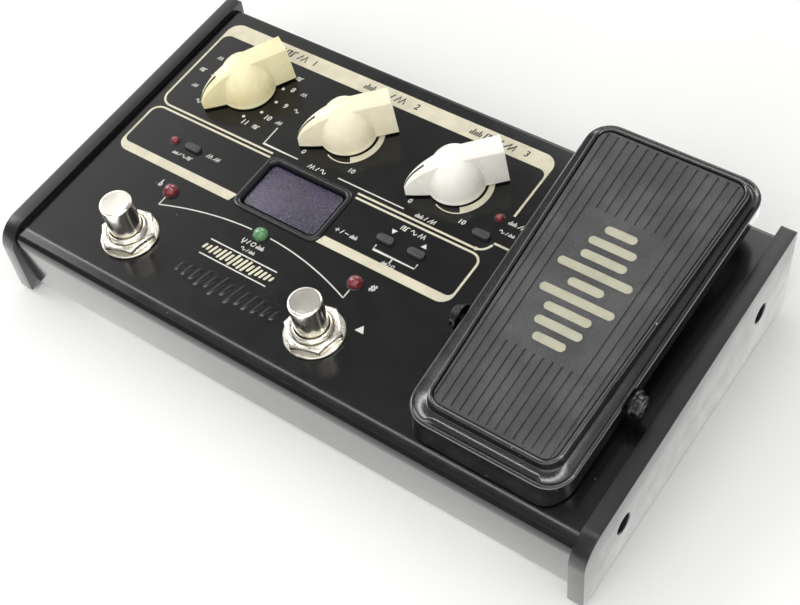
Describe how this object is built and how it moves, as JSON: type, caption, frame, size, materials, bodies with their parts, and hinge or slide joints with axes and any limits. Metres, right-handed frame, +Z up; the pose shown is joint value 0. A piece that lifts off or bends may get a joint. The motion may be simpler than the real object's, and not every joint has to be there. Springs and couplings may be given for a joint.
{
  "type": "multi-effects pedalboard with expression pedal",
  "caption": "Low sloping metal pedalboard with pointer knobs, footswitches, indicator lamps, a display window and a rocking expression pedal",
  "frame": {"origin": "under the middle of the two end caps, on the surface that the rubber feet stand on", "axes": "+X to the right as the player sees it, +Y towards the jacks at the back, +Z up"},
  "size_m": [0.229, 0.128, 0.0568],
  "materials": {
    "black_paint": "black gloss paint on folded steel sheet",
    "cap_paint": "black satin paint on a thick cast plate",
    "zinc_steel": "zinc-plated steel",
    "nickel": "nickel plate with fine handling marks",
    "dark_screw": "black oxide steel",
    "rubber": "matt black rubber",
    "mat_rubber": "dark grey rubber, finely stippled, ribbed lengthwise",
    "treadle_paint": "black gloss paint on a cast tray",
    "black_plastic": "moulded black plastic",
    "gloss_black_plastic": "glossy black plastic",
    "nylon": "natural nylon",
    "board": "green solder mask on fibreglass board",
    "display_film": "dark tinted window under a purple protective film",
    "led_red": "clear red lamp lens, unlit",
    "led_green": "clear green lamp lens, unlit",
    "knob_cream": "cream moulded plastic, yellowed",
    "knob_ivory": "ivory moulded plastic",
    "knob_white": "off-white moulded plastic",
    "button_rubber": "soft dark rubber"
  },
  "bodies": {
    "case": {"top_cover": "black_paint", "bottom_plate": "zinc_steel", "left_end_cap": "cap_paint", "right_end_cap": "cap_paint", "left_cap_screw_front": "dark_screw", "left_cap_screw_rear": "dark_screw", "right_cap_screw_front": "dark_screw", "right_cap_screw_rear": "dark_screw", "left_foot_front": "rubber", "left_foot_rear": "rubber", "right_foot_front": "rubber", "right_foot_rear": "rubber", "input_jack": "black_plastic", "input_jack_nut": "nickel", "output_jack": "black_plastic", "output_jack_nut": "nickel", "power_switch": "zinc_steel", "pivot_bracket": "zinc_steel", "expression_potentiometer": "black_plastic", "battery_box": "black_plastic", "dc_inlet": "black_plastic", "main_board": "board", "selector_switch": "zinc_steel", "gain_potentiometer": "zinc_steel", "level_potentiometer": "zinc_steel", "footswitch_body_left": "zinc_steel", "footswitch_nut_left": "nickel", "footswitch_body_right": "zinc_steel", "footswitch_nut_right": "nickel", "display_bezel": "gloss_black_plastic", "display_lens": "display_film", "display_module": "black_plastic", "led_memory_down": "led_red", "led_bypass": "led_green", "led_memory_up": "led_red", "led_edit": "led_red", "led_expression": "led_red", "toe_bumper": "rubber", "heel_bumper": "rubber"},
    "treadle": {"treadle": "treadle_paint", "treadle_mat": "mat_rubber", "pivot_bolt_left": "dark_screw", "pivot_bolt_right": "dark_screw", "pivot_axle": "zinc_steel", "sector_gear": "nylon"},
    "pinion": {"pot_pinion": "nylon"},
    "selector_knob": {"selector_knob": "knob_cream", "selector_shaft": "zinc_steel"},
    "gain_knob": {"gain_knob": "knob_ivory", "gain_shaft": "zinc_steel"},
    "level_knob": {"level_knob": "knob_white", "level_shaft": "zinc_steel"},
    "left_footswitch": {"footswitch_button_left": "nickel"},
    "right_footswitch": {"footswitch_button_right": "nickel"},
    "edit_button": {"edit_button": "button_rubber"},
    "effect_down_button": {"effect_down_button": "button_rubber"},
    "effect_up_button": {"effect_up_button": "button_rubber"},
    "assign_button": {"assign_button": "button_rubber"},
    "battery_door": {"battery_door": "black_plastic"},
    "power_lever": {"power_switch_lever": "black_plastic"}
  },
  "joints": [
    {"name": "treadle_rock", "type": "hinge", "parent": "case", "child": "treadle", "pos_m": [0.0745, -0.0186, 0.0396], "axis": [1, 0, 0], "range_deg": [-6.5, 0]},
    {"name": "pinion_turn", "type": "hinge", "parent": "case", "child": "pinion", "pos_m": [0.0665, -0.0186, 0.0116], "axis": [1, 0, 0], "range_deg": [0, 40]},
    {"name": "selector_turn", "type": "hinge", "parent": "case", "child": "selector_knob", "pos_m": [-0.079, 0.03033, 0.0344], "axis": [0, -0.0659, 0.9978], "range_deg": [-300, 0]},
    {"name": "gain_turn", "type": "hinge", "parent": "case", "child": "gain_knob", "pos_m": [-0.0342, 0.03033, 0.0344], "axis": [0, -0.0659, 0.9978], "range_deg": [-270, 0]},
    {"name": "level_turn", "type": "hinge", "parent": "case", "child": "level_knob", "pos_m": [0.0104, 0.03033, 0.0344], "axis": [0, -0.0659, 0.9978], "range_deg": [-270, 0]},
    {"name": "left_footswitch_press", "type": "slide", "parent": "case", "child": "left_footswitch", "axis": [0, 0.0659, -0.9978], "range_m": [0, 0.003], "stiffness_N_per_m": 1500, "springref_m": -0.002},
    {"name": "right_footswitch_press", "type": "slide", "parent": "case", "child": "right_footswitch", "axis": [0, 0.0659, -0.9978], "range_m": [0, 0.003], "stiffness_N_per_m": 1500, "springref_m": -0.002},
    {"name": "edit_press", "type": "slide", "parent": "case", "child": "edit_button", "axis": [0, 0.0659, -0.9978], "range_m": [0, 0.0005], "stiffness_N_per_m": 2000, "springref_m": -0.0003},
    {"name": "effect_down_press", "type": "slide", "parent": "case", "child": "effect_down_button", "axis": [0, 0.0659, -0.9978], "range_m": [0, 0.0005], "stiffness_N_per_m": 2000, "springref_m": -0.0003},
    {"name": "effect_up_press", "type": "slide", "parent": "case", "child": "effect_up_button", "axis": [0, 0.0659, -0.9978], "range_m": [0, 0.0005], "stiffness_N_per_m": 2000, "springref_m": -0.0003},
    {"name": "assign_press", "type": "slide", "parent": "case", "child": "assign_button", "axis": [0, 0.0659, -0.9978], "range_m": [0, 0.0005], "stiffness_N_per_m": 2000, "springref_m": -0.0003},
    {"name": "battery_door_swing", "type": "hinge", "parent": "case", "child": "battery_door", "pos_m": [-0.0699, 0.0386, 0.0034], "axis": [1, 0, 0], "range_deg": [0, 100]},
    {"name": "power_slide", "type": "slide", "parent": "case", "child": "power_lever", "axis": [1, 0, 0], "range_m": [0, 0.004]}
  ],
  "couplings": [
    {"joint": "pinion_turn", "follows": "treadle_rock", "ratio": -6}
  ]
}
